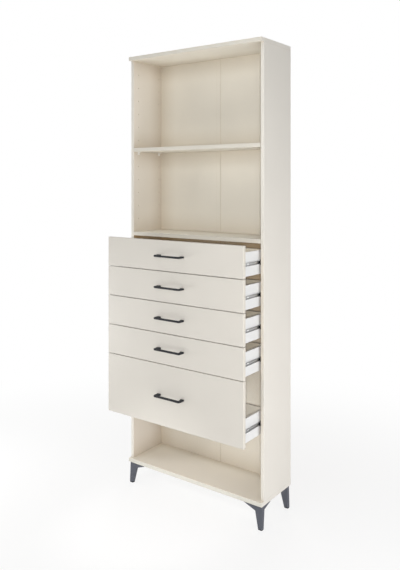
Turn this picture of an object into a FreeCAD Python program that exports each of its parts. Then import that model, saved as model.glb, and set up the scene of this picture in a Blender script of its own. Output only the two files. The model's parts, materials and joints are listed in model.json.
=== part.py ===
"""Tall open bookcase on four feet, with five drawers on ball-bearing slides.

Millimetres. X runs to the right, Y towards the wall, Z up from the floor.
Shapes are drawn with Y = 0 at the front edge of the top and base panels.
They are saved about the middle of the whole depth, with the drawers pulled out.
"""
import FreeCAD
import Part

import math
import os
from itertools import combinations, product

# Carcass boards
WIDTH = 750.0
DEPTH = 252.0
CARCASS_HEIGHT = 1967.0
BOARD = 18.0
SIDE_BOARD = 16.0
SIDE_SETBACK = 18.0
ARRIS = 0.8
NICHE_HEIGHT = 272.0
MIDDLE_BAY_HEIGHT = 389.0

# Back boards in their grooves, and the strip that joins them
BACK_BOARD = 3.0
BACK_RECESS = 21.0
BACK_GROOVE = 6.0
BACK_PLAY = 0.3
STRIP_WIDTH = 20.0
STRIP_WALL = 1.2
STRIP_WEB = 1.6

# Shelves, shelf pins and dowels
SHELF_REAR_GAP = 2.0
SHELF_END_GAP = 1.0
PIN_RADIUS = 2.5
PIN_HOLE_DEPTH = 10.0
PIN_PLAY = 0.1
PIN_PITCH = 64.0
PIN_HOLE_MARGIN = 60.0
PIN_FROM_FRONT = 35.0
PIN_FROM_BACK = 20.0
PIN_PLATE = 12.0
PIN_PLATE_DROP = 14.0
PIN_WALL = 2.5
DOWEL_RADIUS = 4.0
DOWEL_LENGTH = 24.0
DOWEL_PLAY = 0.1
DOWEL_INSET = 45.0

# Feet
FOOT_HEIGHT = 100.0
GLIDE_HEIGHT = 4.0
GLIDE_MARGIN = 0.5
FOOT_INSET_X = 2.0
FOOT_INSET_Y = 9.0
FOOT_SPLAY = 5.0
LEG_TOP = (42.0, 21.0)
LEG_BOTTOM = (21.0, 18.0)
LEG_BEVEL = 2.5
FLANGE = 3.0
FLANGE_FRONT = 99.0
FLANGE_SIDE = 68.0
FLANGE_WIDTH = 24.0
FLANGE_TIP = 9.0
WING_DEPTH = 23.0
WING_SIDE_DEPTH = 14.0
WING_THICK = 6.0
FOOT_SCREW_HEAD = 4.0
FOOT_SCREW_HEAD_HEIGHT = 2.4
FOOT_SCREW_SHANK = 2.0
FOOT_SCREW_LENGTH = 15.0
FOOT_SCREW_PLAY = 0.2
FOOT_SCREW_FROM_TIP = 12.0
FOOT_SCREW_PITCH = 32.0
FOOT_SCREW_FROM_EDGE = 14.0

# Drawer fronts and boxes
DRAWER_MODULE = 136.0
FRONT_MODULES = (1, 1, 1, 1, 2)
FRONT_GAP = 3.0
FRONT_BOARD = 16.0
FRONT_SIDE_MARGIN = 1.0
FRONT_COVER = 3.0
DRAWER_PULL = 141.0
BOX_HEIGHT = 100.0
BOX_BOARD = 12.0
BOX_RISE = 1.0
BOX_REAR_GAP = 10.0
BOTTOM_BOARD = 3.2
BOTTOM_RISE = 10.0
BOTTOM_GROOVE = 6.0
BOTTOM_PLAY = 0.3

# Ball-bearing slides: channel on the carcass, rail on the drawer, ball cage between
SLIDE_THICK = 10.0
SLIDE_STEEL = 1.2
SLIDE_END_GAP = 2.0
BALL_RADIUS = 1.5
BALL_RISE = 7.75
BALLS_PER_ROW = 3
BALL_PITCH = 12.0
RUN_GAP = 0.3
HOOK_ANGLE = 25.0
CAGE_STEEL = 0.6
CAGE_LENGTH = 40.0
DRAWER_TRAVEL = 150.0
BUMPER_LENGTH = 8.0
BUMPER_NOSE = 3.2
BUMPER_PLATE = 21.0
BUMPER_GAP = 0.4
RAIL_HOLE_FROM_FRONT = 55.0
RAIL_HOLE_RADIUS = 3.2

# Small round pieces repeat often, so they are drawn with flat sides
SMALL_SIDES = 12
HIDDEN_SIDES = 8

# Handles
HANDLE_HOLES = 128.0
HANDLE_STANDOFF = 23.5
HANDLE_BAR = 8.5
HANDLE_SEAT = 20.0
HANDLE_POST = 11.0
HANDLE_DRAFT = 2.0
HANDLE_OUTER_BEND = 6.0
HANDLE_INNER_BEND = 4.0
HANDLE_BEND_STEPS = 5
HANDLE_BEVEL = 1.6

# Planes that several pieces share
HALF_WIDTH = WIDTH / 2
INNER_X = HALF_WIDTH - SIDE_BOARD
BACK_FACE = DEPTH - BACK_RECESS - BACK_BOARD
BASE_TOP = FOOT_HEIGHT + BOARD
CARCASS_TOP = FOOT_HEIGHT + CARCASS_HEIGHT
TOP_UNDERSIDE = CARCASS_TOP - BOARD
STACK_BOTTOM = BASE_TOP + NICHE_HEIGHT
STACK_TOP = STACK_BOTTOM + sum(FRONT_MODULES) * DRAWER_MODULE - FRONT_GAP
FIXED_SHELF_BOTTOM = STACK_TOP - FRONT_COVER
ADJUSTABLE_SHELF_BOTTOM = FIXED_SHELF_BOTTOM + BOARD + MIDDLE_BAY_HEIGHT
SHELF_REAR = BACK_FACE - SHELF_REAR_GAP
PIN_ROWS_Y = (SIDE_SETBACK + PIN_FROM_FRONT, BACK_FACE - PIN_FROM_BACK)
PIN_Z = ADJUSTABLE_SHELF_BOTTOM - PIN_PLATE_DROP / 2
DOWEL_ROWS_Y = (SIDE_SETBACK + DOWEL_INSET, BACK_FACE - DOWEL_INSET)
FOOT_X = -HALF_WIDTH + FOOT_INSET_X
FOOT_Y = FOOT_INSET_Y
TOE_Y = FOOT_Y - FOOT_SPLAY
FLANGE_BOTTOM = FOOT_HEIGHT - FLANGE
HANDLE_REACH = HANDLE_STANDOFF + HANDLE_BAR
FRONT_FACE = -DRAWER_PULL
FRONT_BACK = FRONT_FACE + FRONT_BOARD
BOX_LENGTH = BACK_FACE - BOX_REAR_GAP - FRONT_BOARD
BOX_REAR = FRONT_BACK + BOX_LENGTH
BOX_X = INNER_X - SLIDE_THICK
SLIDE_LENGTH = BOX_LENGTH - SLIDE_END_GAP
CHANNEL_FRONT = SIDE_SETBACK + SLIDE_END_GAP
RAIL_FRONT = FRONT_BACK + SLIDE_END_GAP
HOOK_NEAR = BALL_RADIUS + RUN_GAP
HOOK_FAR = HOOK_NEAR + SLIDE_STEEL
BALL_FROM_WALL = SLIDE_STEEL + CAGE_STEEL + 2 * RUN_GAP + HOOK_FAR
MIDDLE_OF_DEPTH = (FRONT_FACE - HANDLE_REACH + DEPTH) / 2


def at(x, y, z):
    return FreeCAD.Vector(x, y, z)


def box(x_span, y_span, z_span):
    """A rectangular block between two values on each axis."""
    low, high = zip(x_span, y_span, z_span)
    return Part.makeBox(*(b - a for a, b in zip(low, high)), at(*low))


def prism(points, direction):
    """A straight-sided outline pushed along a direction."""
    outline = Part.makePolygon(list(points) + [points[0]])
    return Part.Face(outline).extrude(direction)


def on_face(edge, y):
    """Whether an edge lies in the upright plane at this depth."""
    return abs(edge.YMin - y) + abs(edge.YMax - y) < ARRIS / 10


def with_arris(board, edge_is_soft):
    """The board with a small bevel on each edge that the test accepts."""
    edges = [edge for edge in board.Edges if edge_is_soft(edge.BoundBox)]
    return board.makeChamfer(ARRIS, edges)


def mirrored_x(shape):
    return shape.mirror(at(0, 0, 0), at(1, 0, 0))


def joined(shapes):
    """One solid from pieces that touch, with the seams between flat faces removed."""
    first, *rest = shapes
    return first.fuse(rest).removeSplitter()


def save(node, solids):
    """Write one sub-part, moved to the origin in the middle of the depth."""
    shift = at(0, -MIDDLE_OF_DEPTH, 0)
    Part.makeCompound([solid.translated(shift) for solid in solids]).exportStep(f"parts/{node}.step")


def ring(centre, axis, radius, sides):
    """The corners of a regular outline round an axis that lies along X, Y or Z."""
    across = at(axis.y, axis.z, axis.x)
    around = axis.cross(across)
    turns = [2 * math.pi * (i + 0.5) / sides for i in range(sides)]
    return [centre + across * (radius * math.cos(t)) + around * (radius * math.sin(t)) for t in turns]


def pin(start, axis, radius, length, sides=SMALL_SIDES):
    """A small round bar from its starting end along its axis."""
    return prism(ring(start, axis, radius, sides), axis * length)


def tapered(lower, upper):
    """A flat-sided solid between two outlines with as many corners, matched in order."""
    walls = []
    for a, b, c, d in zip(lower, lower[1:] + lower[:1], upper[1:] + upper[:1], upper):
        walls.append(Part.Face(Part.makePolygon([a, b, c, d, a])))
    ends = [Part.Face(Part.makePolygon(outline + outline[:1])) for outline in (lower, upper)]
    return Part.makeSolid(Part.makeShell(walls + ends))


def dowel(centre, axis, play=0.0):
    """A glued dowel about its middle; with play it is the bore for one."""
    length = DOWEL_LENGTH + 2 * play
    return pin(centre - axis * (length / 2), axis, DOWEL_RADIUS + play, length, HIDDEN_SIDES)


def dowels(play=0.0):
    """Two dowels at each corner of the carcass, and two at each end of the fixed shelf."""
    side_middle = HALF_WIDTH - SIDE_BOARD / 2
    shelf_middle = FIXED_SHELF_BOTTOM + BOARD / 2
    pins = []
    for hand, y in product((-1, 1), DOWEL_ROWS_Y):
        for joint_z in (BASE_TOP, TOP_UNDERSIDE):
            pins.append(dowel(at(hand * side_middle, y, joint_z), at(0, 0, 1), play))
        pins.append(dowel(at(hand * INNER_X, y, shelf_middle), at(1, 0, 0), play))
    return pins


def side_panels():
    """Left and right sides, with the back board's groove, pin holes and dowel bores."""
    panel = box((-HALF_WIDTH, -INNER_X), (SIDE_SETBACK, DEPTH), (BASE_TOP, TOP_UNDERSIDE))
    panel = with_arris(panel, lambda edge: on_face(edge, SIDE_SETBACK) and edge.ZLength > edge.XLength)
    cuts = [box((-INNER_X - BACK_GROOVE, -INNER_X),
                (BACK_FACE - BACK_PLAY, BACK_FACE + BACK_BOARD + BACK_PLAY),
                (BASE_TOP, TOP_UNDERSIDE))]
    holes_below = int((PIN_Z - FIXED_SHELF_BOTTOM - BOARD - PIN_HOLE_MARGIN) / PIN_PITCH)
    holes_above = int((TOP_UNDERSIDE - PIN_Z - PIN_HOLE_MARGIN) / PIN_PITCH)
    for y, step in product(PIN_ROWS_Y, range(-holes_below, holes_above + 1)):
        mouth = at(-INNER_X, y, PIN_Z + step * PIN_PITCH)
        cuts.append(pin(mouth, at(-1, 0, 0), PIN_RADIUS + PIN_PLAY, PIN_HOLE_DEPTH, HIDDEN_SIDES))
    left = panel.cut(cuts)
    bores = dowels(DOWEL_PLAY)
    return left.cut(bores), mirrored_x(left).cut(bores)


def level_panel(bottom, groove_face):
    """A full-width panel, top or base, with the back board's groove in one face."""
    panel = box((-HALF_WIDTH, HALF_WIDTH), (0, DEPTH), (bottom, bottom + BOARD))
    panel = with_arris(panel, lambda edge: edge.ZLength < ARRIS)
    groove = box((-INNER_X - BACK_GROOVE, INNER_X + BACK_GROOVE),
                 (BACK_FACE - BACK_PLAY, BACK_FACE + BACK_BOARD + BACK_PLAY),
                 (groove_face - BACK_GROOVE, groove_face + BACK_GROOVE))
    return panel.cut([groove] + dowels(DOWEL_PLAY))


def shelf(bottom, end_gap):
    """A shelf between the sides, its front edge in line with theirs."""
    reach = INNER_X - end_gap
    board = box((-reach, reach), (SIDE_SETBACK, SHELF_REAR), (bottom, bottom + BOARD))
    return with_arris(board, lambda edge: on_face(edge, SIDE_SETBACK) and edge.XLength > edge.ZLength)


def back_boards():
    """Two thin boards in the grooves, and the H-shaped strip over the joint between them."""
    low = BASE_TOP - BACK_GROOVE + BACK_PLAY
    high = TOP_UNDERSIDE + BACK_GROOVE - BACK_PLAY
    seam = STRIP_WEB / 2 + BACK_PLAY
    left = box((-INNER_X - BACK_GROOVE + BACK_PLAY, -seam), (BACK_FACE, BACK_FACE + BACK_BOARD), (low, high))
    front_flange = BACK_FACE - BACK_PLAY
    rear_flange = BACK_FACE + BACK_BOARD + BACK_PLAY
    wide = (-STRIP_WIDTH / 2, STRIP_WIDTH / 2)
    tall = (BASE_TOP, TOP_UNDERSIDE)
    strip = joined([box(wide, (front_flange - STRIP_WALL, front_flange), tall),
                    box((-STRIP_WEB / 2, STRIP_WEB / 2), (front_flange, rear_flange), tall),
                    box(wide, (rear_flange, rear_flange + STRIP_WALL), tall)])
    return left, mirrored_x(left), strip


def shelf_pins():
    """Four angle supports, each with a round peg in its hole, under the adjustable shelf."""
    pins = []
    for y in PIN_ROWS_Y:
        across = (y - PIN_PLATE / 2, y + PIN_PLATE / 2)
        top = ADJUSTABLE_SHELF_BOTTOM
        ledge = box((-INNER_X, -INNER_X + PIN_PLATE), across, (top - PIN_WALL, top))
        plate = box((-INNER_X, -INNER_X + PIN_WALL), across, (top - PIN_PLATE_DROP, top))
        peg = pin(at(-INNER_X, y, PIN_Z), at(-1, 0, 0), PIN_RADIUS, PIN_HOLE_DEPTH - PIN_WALL, HIDDEN_SIDES)
        support = joined([ledge, plate, peg])
        pins += [support, mirrored_x(support)]
    return pins


def bevelled_rectangle(x_span, y_span, z):
    """The eight corners of a rectangle with its corners cut off."""
    (x0, x1), (y0, y1) = x_span, y_span
    c = LEG_BEVEL
    return [at(x0 + c, y0, z), at(x1 - c, y0, z), at(x1, y0 + c, z), at(x1, y1 - c, z),
            at(x1 - c, y1, z), at(x0 + c, y1, z), at(x0, y1 - c, z), at(x0, y0 + c, z)]


def at_each_corner(shape):
    """The shape at the front left, front right, rear left and rear right corners."""
    rear = shape.mirror(at(0, DEPTH / 2, 0), at(0, 1, 0))
    return [shape, mirrored_x(shape), rear, mirrored_x(rear)]


def foot_screw_places():
    """Where the front left foot is screwed to the base: two places along its front arm."""
    outer = FOOT_X + FLANGE_FRONT - FOOT_SCREW_FROM_TIP
    return [(x, FOOT_Y + FOOT_SCREW_FROM_EDGE) for x in (outer, outer - FOOT_SCREW_PITCH)]


def foot_screw(x, y):
    """A round-headed screw driven up through the flange into the base."""
    under_flange = at(x, y, FLANGE_BOTTOM)
    head = pin(under_flange, at(0, 0, -1), FOOT_SCREW_HEAD, FOOT_SCREW_HEAD_HEIGHT)
    shank = pin(under_flange, at(0, 0, 1), FOOT_SCREW_SHANK, FOOT_SCREW_LENGTH, HIDDEN_SIDES)
    return joined([head, shank])


def foot_screw_bore(x, y):
    return pin(at(x, y, FLANGE_BOTTOM), at(0, 0, 1), FOOT_SCREW_SHANK + FOOT_SCREW_PLAY,
               FOOT_SCREW_LENGTH + FOOT_SCREW_PLAY, HIDDEN_SIDES)


def foot_arm(place, length, root, drop):
    """One arm of the foot's flange, with a wing under its outer edge that runs out towards the tip."""
    top = FLANGE_BOTTOM
    flange = prism([place(0, 0, top), place(length, 0, top),
                    place(length, FLANGE_WIDTH - FLANGE_TIP, top),
                    place(length - FLANGE_TIP, FLANGE_WIDTH, top),
                    place(0, FLANGE_WIDTH, top)], at(0, 0, FLANGE))
    wing = [(root / 2, top), (length, top), (root, top - drop), (root / 2, top - drop)]
    across = place(0, WING_THICK, 0) - place(0, 0, 0)
    return [flange, prism([place(along, 0, z) for along, z in wing], across)]


def foot(with_side_arm):
    """The front left foot: a splayed, tapered leg under a flange with one or two arms."""
    leg_x, leg_y = LEG_TOP
    toe_x, toe_y = LEG_BOTTOM
    leg_height = FLANGE_BOTTOM - GLIDE_HEIGHT
    top = bevelled_rectangle((FOOT_X, FOOT_X + leg_x), (FOOT_Y, FOOT_Y + leg_y), FLANGE_BOTTOM)
    toe = bevelled_rectangle((FOOT_X, FOOT_X + toe_x), (TOE_Y, TOE_Y + toe_y), GLIDE_HEIGHT)
    root_x = leg_x + (toe_x - leg_x) * WING_DEPTH / leg_height
    root_y = leg_y + (toe_y - FOOT_SPLAY - leg_y) * WING_SIDE_DEPTH / leg_height
    pieces = [tapered(toe, top)]
    pieces += foot_arm(lambda along, across, z: at(FOOT_X + along, FOOT_Y + across, z),
                       FLANGE_FRONT, root_x, WING_DEPTH)
    if with_side_arm:
        pieces += foot_arm(lambda along, across, z: at(FOOT_X + across, FOOT_Y + along, z),
                           FLANGE_SIDE, root_y, WING_SIDE_DEPTH)
    return joined(pieces).cut([foot_screw_bore(*place) for place in foot_screw_places()])


def foot_glide():
    """The pad under the leg, a little inside its outline."""
    toe_x, toe_y = LEG_BOTTOM
    rim = bevelled_rectangle((FOOT_X + GLIDE_MARGIN, FOOT_X + toe_x - GLIDE_MARGIN),
                             (TOE_Y + GLIDE_MARGIN, TOE_Y + toe_y - GLIDE_MARGIN), 0)
    return prism(rim, at(0, 0, GLIDE_HEIGHT))


def slide_half(outline):
    """A closed outline of (distance from the wall, height) edges, mirrored below and run to length."""
    upper = Part.Face(Part.Wire(outline)).extrude(at(0, SLIDE_LENGTH, 0))
    return joined([upper, upper.mirror(at(0, 0, 0), at(0, 0, 1))])


def on_hook(radius, degrees):
    """A point on the ball's raceway, measured about the ball's centre."""
    turn = math.radians(degrees)
    return at(BALL_FROM_WALL + radius * math.cos(turn), 0, BALL_RISE + radius * math.sin(turn))


def hook_arc(radius, start, end):
    points = [on_hook(radius, degrees) for degrees in (start, (start + end) / 2, end)]
    return Part.Arc(*points).toShape()


def run(*points):
    """Straight edges from point to point."""
    return [Part.makeLine(a, b) for a, b in zip(points, points[1:])]


def slide_channel():
    """The wall member: a C section whose lips hook over the balls from outside."""
    outer_top = on_hook(HOOK_FAR, 90)
    inner_top = on_hook(HOOK_NEAR, 90)
    outline = run(at(0, 0, 0), at(0, 0, outer_top.z), outer_top)
    outline += [hook_arc(HOOK_FAR, 90, HOOK_ANGLE)]
    outline += run(on_hook(HOOK_FAR, HOOK_ANGLE), on_hook(HOOK_NEAR, HOOK_ANGLE))
    outline += [hook_arc(HOOK_NEAR, HOOK_ANGLE, 90)]
    outline += run(inner_top, at(SLIDE_STEEL, 0, inner_top.z), at(SLIDE_STEEL, 0, 0), at(0, 0, 0))
    return slide_half(outline)


def slide_rail():
    """The drawer member: a smaller C section, facing the first, hooked under the balls."""
    web = SLIDE_THICK - SLIDE_STEEL
    upper = on_hook(HOOK_NEAR, 270)
    lower = on_hook(HOOK_FAR, 270)
    tip = 180 + HOOK_ANGLE
    outline = run(at(SLIDE_THICK, 0, 0), at(SLIDE_THICK, 0, upper.z), upper)
    outline += [hook_arc(HOOK_NEAR, 270, tip)]
    outline += run(on_hook(HOOK_NEAR, tip), on_hook(HOOK_FAR, tip))
    outline += [hook_arc(HOOK_FAR, tip, 270)]
    outline += run(lower, at(web, 0, lower.z), at(web, 0, 0), at(SLIDE_THICK, 0, 0))
    hole = pin(at(0, RAIL_HOLE_FROM_FRONT, 0), at(1, 0, 0), RAIL_HOLE_RADIUS, SLIDE_THICK)
    return slide_half(outline).cut(hole)


def ball(centre):
    """A bearing ball with few faces: the twenty triangles between its twelve corners."""
    golden = (1 + math.sqrt(5)) / 2
    corners = []
    for one, long in product((-1, 1), (-golden, golden)):
        corners += [at(0, one, long), at(one, long, 0), at(long, 0, one)]
    scale = BALL_RADIUS / corners[0].Length
    edge = min((a - b).Length for a, b in combinations(corners, 2))
    faces = []
    for trio in combinations(corners, 3):
        if all(abs((a - b).Length - edge) < edge / 100 for a, b in combinations(trio, 2)):
            loop = [centre + corner * scale for corner in trio]
            faces.append(Part.Face(Part.makePolygon(loop + loop[:1])))
    return Part.makeSolid(Part.makeShell(faces))


def ball_cage():
    """A bent strip between channel and rail that carries a row of balls above and below."""
    web = SLIDE_STEEL + RUN_GAP
    lip_end = BALL_FROM_WALL + BALL_RADIUS
    half = CAGE_STEEL / 2
    strip = [box((web, web + CAGE_STEEL), (0, CAGE_LENGTH), (-BALL_RISE - half, BALL_RISE + half))]
    first = (CAGE_LENGTH - (BALLS_PER_ROW - 1) * BALL_PITCH) / 2
    for height in (-BALL_RISE, BALL_RISE):
        strip.append(box((web, lip_end), (0, CAGE_LENGTH), (height - half, height + half)))
        for i in range(BALLS_PER_ROW):
            strip.append(ball(at(BALL_FROM_WALL, first + i * BALL_PITCH, height)))
    return joined(strip)


def bumper():
    """The moulded stop at the channel's front end: a block in the rail's hollow, with a plate at the wall."""
    hollow = BALL_RISE - HOOK_FAR - BUMPER_GAP
    rail_lip = on_hook(HOOK_FAR, 180 + HOOK_ANGLE).x
    block = box((SLIDE_STEEL, SLIDE_THICK - SLIDE_STEEL - BUMPER_GAP), (-BUMPER_NOSE, BUMPER_LENGTH),
                (-hollow, hollow))
    plate = box((0, rail_lip - BUMPER_GAP), (-BUMPER_NOSE, 0), (-BUMPER_PLATE / 2, BUMPER_PLATE / 2))
    return joined([block, plate])


def on_both_walls(shape, front, height):
    """A slide piece at the left wall and its mirror image at the right."""
    left = shape.translated(at(-INNER_X, front, height))
    return [left, mirrored_x(left)]


def handle(height):
    """A bow handle: a bar bent back to the front at both ends, on posts that widen towards the front."""
    seat_outer = HANDLE_HOLES / 2 + HANDLE_SEAT / 2
    seat_inner = HANDLE_HOLES / 2 - HANDLE_SEAT / 2
    outer_x = seat_outer - HANDLE_DRAFT
    inner_x = outer_x - HANDLE_POST
    face = FRONT_FACE
    low = height - HANDLE_BAR / 2

    def bend(x, y, radius):
        """A quarter turn, in flat steps, from the right post's side to the bar."""
        turns = [math.pi / 2 * i / HANDLE_BEND_STEPS for i in range(HANDLE_BEND_STEPS + 1)]
        return [at(x - radius + radius * math.cos(t), y + radius - radius * math.sin(t), low) for t in turns]

    outside = [at(seat_outer, face, low)] + bend(outer_x, face - HANDLE_REACH, HANDLE_OUTER_BEND)
    inside = [at(seat_inner, face, low)] + bend(inner_x, face - HANDLE_STANDOFF, HANDLE_INNER_BEND)
    right_half = inside[::-1] + outside
    left_half = [at(-point.x, point.y, point.z) for point in reversed(right_half)]
    bow = prism(right_half + left_half, at(0, 0, HANDLE_BAR))
    soft = [e for e in bow.Edges if e.BoundBox.ZLength < HANDLE_BEVEL and not on_face(e.BoundBox, face)]
    return bow.makeChamfer(HANDLE_BEVEL, soft)


def drawer_front(bottom, top, groove):
    """The overlay front, with the groove that takes the drawer bottom's front edge."""
    reach = HALF_WIDTH - FRONT_SIDE_MARGIN
    front = box((-reach, reach), (FRONT_FACE, FRONT_BACK), (bottom, top))
    front = with_arris(front, lambda edge: on_face(edge, FRONT_FACE))
    return front.cut(groove)


def drawer_box(box_bottom):
    """The sides, back and bottom of one drawer, and the groove cut for the bottom."""
    box_top = box_bottom + BOX_HEIGHT
    floor = box_bottom + BOTTOM_RISE
    inner_x = BOX_X - BOX_BOARD
    bottom_x = inner_x + BOTTOM_GROOVE
    groove = box((-bottom_x - BOTTOM_PLAY, bottom_x + BOTTOM_PLAY),
                 (FRONT_BACK - BOTTOM_GROOVE - BOTTOM_PLAY, BOX_REAR),
                 (floor - BOTTOM_PLAY, floor + BOTTOM_BOARD + BOTTOM_PLAY))
    left = box((-BOX_X, -inner_x), (FRONT_BACK, BOX_REAR), (box_bottom, box_top)).cut(groove)
    back = box((-inner_x, inner_x), (BOX_REAR - BOX_BOARD, BOX_REAR),
               (floor + BOTTOM_BOARD + BOTTOM_PLAY, box_top))
    bottom = box((-bottom_x, bottom_x), (FRONT_BACK - BOTTOM_GROOVE, BOX_REAR), (floor, floor + BOTTOM_BOARD))
    return left, mirrored_x(left), back, bottom, groove


def build_carcass():
    left, right = side_panels()
    screw_bores = []
    screws = []
    for place in foot_screw_places():
        screw_bores += at_each_corner(foot_screw_bore(*place))
        screws += at_each_corner(foot_screw(*place))
    back_left, back_right, strip = back_boards()
    save("left_side_panel", [left])
    save("right_side_panel", [right])
    save("top_panel", [level_panel(TOP_UNDERSIDE, TOP_UNDERSIDE)])
    save("base_panel", [level_panel(FOOT_HEIGHT, BASE_TOP).cut(screw_bores)])
    save("fixed_shelf", [shelf(FIXED_SHELF_BOTTOM, 0).cut(dowels(DOWEL_PLAY))])
    save("adjustable_shelf", [shelf(ADJUSTABLE_SHELF_BOTTOM, SHELF_END_GAP)])
    save("shelf_pins", shelf_pins())
    save("carcass_dowels", dowels())
    save("back_panel_left", [back_left])
    save("back_panel_right", [back_right])
    save("back_joining_strip", [strip])
    corners = ("front_left", "front_right", "rear_left", "rear_right")
    feet = at_each_corner(foot(with_side_arm=True))[:2] + at_each_corner(foot(with_side_arm=False))[2:]
    for corner, solid in zip(corners, feet):
        save(f"foot_{corner}", [solid])
    save("foot_glides", at_each_corner(foot_glide()))
    save("foot_screws", screws)


def build_drawers():
    channel, rail, cage, stop = slide_channel(), slide_rail(), ball_cage(), bumper()
    cage_front_open = CHANNEL_FRONT + BUMPER_LENGTH + RUN_GAP + CAGE_STEEL
    furthest_pull = DRAWER_TRAVEL - DRAWER_PULL
    cage_front = cage_front_open + furthest_pull / 2
    channels, bumpers = [], []
    top = STACK_TOP
    for number, modules in enumerate(FRONT_MODULES, start=1):
        bottom = top - modules * DRAWER_MODULE + FRONT_GAP
        box_bottom = bottom + BOX_RISE
        slide_height = box_bottom + BOX_HEIGHT / 2
        left, right, back, floor, groove = drawer_box(box_bottom)
        name = f"drawer_{number}"
        save(f"{name}_front", [drawer_front(bottom, top, groove)])
        save(f"{name}_left_side", [left])
        save(f"{name}_right_side", [right])
        save(f"{name}_back", [back])
        save(f"{name}_bottom", [floor])
        save(f"{name}_handle", [handle((bottom + top) / 2)])
        save(f"{name}_slide_rails", on_both_walls(rail, RAIL_FRONT, slide_height))
        save(f"{name}_ball_cages", on_both_walls(cage, cage_front, slide_height))
        channels += on_both_walls(channel, CHANNEL_FRONT, slide_height)
        bumpers += on_both_walls(stop, CHANNEL_FRONT, slide_height)
        top = bottom - FRONT_GAP
    save("slide_channels", channels)
    save("slide_bumpers", bumpers)


os.makedirs("parts", exist_ok=True)
build_carcass()
build_drawers()
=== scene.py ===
# %% [markdown]
# # A tall bookcase with a stack of drawers
# The boards, slides, feet and handles come in as solids in metres, already in place.
# This lesson gives each of them its finish, adds the small pieces that a close look would miss, and
# lights them like a plain catalogue picture.

# %% Load the solids
import bpy
import json
import math
import numpy as np
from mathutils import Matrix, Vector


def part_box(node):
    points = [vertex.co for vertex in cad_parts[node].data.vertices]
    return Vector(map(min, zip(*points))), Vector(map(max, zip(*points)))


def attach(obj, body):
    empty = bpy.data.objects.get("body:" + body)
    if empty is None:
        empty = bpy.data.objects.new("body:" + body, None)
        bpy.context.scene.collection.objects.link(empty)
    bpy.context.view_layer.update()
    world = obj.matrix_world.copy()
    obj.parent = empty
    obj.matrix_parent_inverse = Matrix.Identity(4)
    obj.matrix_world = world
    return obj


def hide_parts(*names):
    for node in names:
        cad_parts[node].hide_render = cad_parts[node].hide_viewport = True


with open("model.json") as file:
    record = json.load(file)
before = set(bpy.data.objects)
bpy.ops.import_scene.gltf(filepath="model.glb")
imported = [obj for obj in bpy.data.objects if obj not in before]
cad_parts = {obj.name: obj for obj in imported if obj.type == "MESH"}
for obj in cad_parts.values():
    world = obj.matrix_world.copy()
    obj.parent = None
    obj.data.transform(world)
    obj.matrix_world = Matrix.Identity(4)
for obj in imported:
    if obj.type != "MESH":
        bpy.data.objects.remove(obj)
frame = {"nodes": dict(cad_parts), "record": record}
solids = frame["nodes"]
drawers = range(1, 6)
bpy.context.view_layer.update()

# %% [markdown]
# ## The camera
# Upright lines stay parallel in the picture, so the camera is level and only turned to the left.
# The horizon lies above the middle of the frame. A tilt would bring it there too, but it would make the
# uprights lean, so the lens is shifted instead, as on a view camera.

# %% Camera
FRAME_HEIGHT = 570
FOCAL_PIXELS = 636.1
HORIZON_ROW = 182.5
SENSOR_SIZE = 36.0
CAMERA_PLACE = (1.739, -2.329, 1.457)
CAMERA_TURN = math.radians(36.33)
LEVEL = math.pi / 2

camera_data = bpy.data.cameras.new("catalogue_camera")
camera_data.sensor_width = SENSOR_SIZE
camera_data.lens = SENSOR_SIZE * FOCAL_PIXELS / FRAME_HEIGHT
camera_data.shift_y = (HORIZON_ROW - FRAME_HEIGHT / 2) / FRAME_HEIGHT
camera = bpy.data.objects.new("catalogue_camera", camera_data)
camera.location = CAMERA_PLACE
camera.rotation_euler = (LEVEL, 0, CAMERA_TURN)
bpy.context.scene.collection.objects.link(camera)
bpy.context.scene.camera = camera
bpy.context.scene.view_settings.view_transform = "Standard"
print("lens", round(camera_data.lens, 2), "shift", round(camera_data.shift_y, 3))

# %% [markdown]
# ## Node helpers
# The world, the floor and every finish are small networks of nodes. They could be wired by hand in the
# editor, but as a script they can be read and made again.
# Three helpers keep each network short: one fills a socket, one adds a node with its sockets filled, and
# one does arithmetic on numbers or vectors.

# %% Node helpers
VECTOR = "ShaderNodeVectorMath"


def fill(tree, socket, value):
    """Join a socket to another node's output, or give it a fixed value."""
    if isinstance(value, bpy.types.NodeSocket):
        tree.links.new(value, socket)
    else:
        socket.default_value = value


def node(tree, kind, settings=None, **sockets):
    """Add a node, set its options, and fill its sockets with values or with other nodes' outputs."""
    made = tree.nodes.new(kind)
    for name, value in (settings or {}).items():
        setattr(made, name, value)
    for name, value in sockets.items():
        fill(tree, made.inputs[name.replace("_", " ")], value)
    return made


def maths(tree, operation, *values, kind="ShaderNodeMath"):
    """One operation on numbers, or on vectors with kind VECTOR, with its inputs in order."""
    made = node(tree, kind, {"operation": operation})
    for socket, value in zip(made.inputs, values):
        fill(tree, socket, value)
    return made.outputs[0]


# %% [markdown]
# ## World
# The background of a catalogue picture is white. A bright white world would give that, but it would also
# flood the object with light and wash out its colours.
# So the world has two strengths: white for rays that see it directly or in a gloss, and a faint glow for
# the rays that carry light.

# %% World
AMBIENT = 0.06
WHITE = (1, 1, 1, 1)


def seen_directly(tree):
    """1 for rays from the camera, from a gloss or through glass, and 0 for the rays that carry light."""
    path = node(tree, "ShaderNodeLightPath")
    seen = maths(tree, "MAXIMUM", path.outputs["Is Camera Ray"], path.outputs["Is Glossy Ray"])
    return maths(tree, "MAXIMUM", seen, path.outputs["Is Transmission Ray"])


def mixed(tree, share, first, second):
    """A mix of two shaders."""
    mix = node(tree, "ShaderNodeMixShader", Fac=share)
    tree.links.new(first.outputs[0], mix.inputs[1])
    tree.links.new(second.outputs[0], mix.inputs[2])
    return mix


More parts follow.
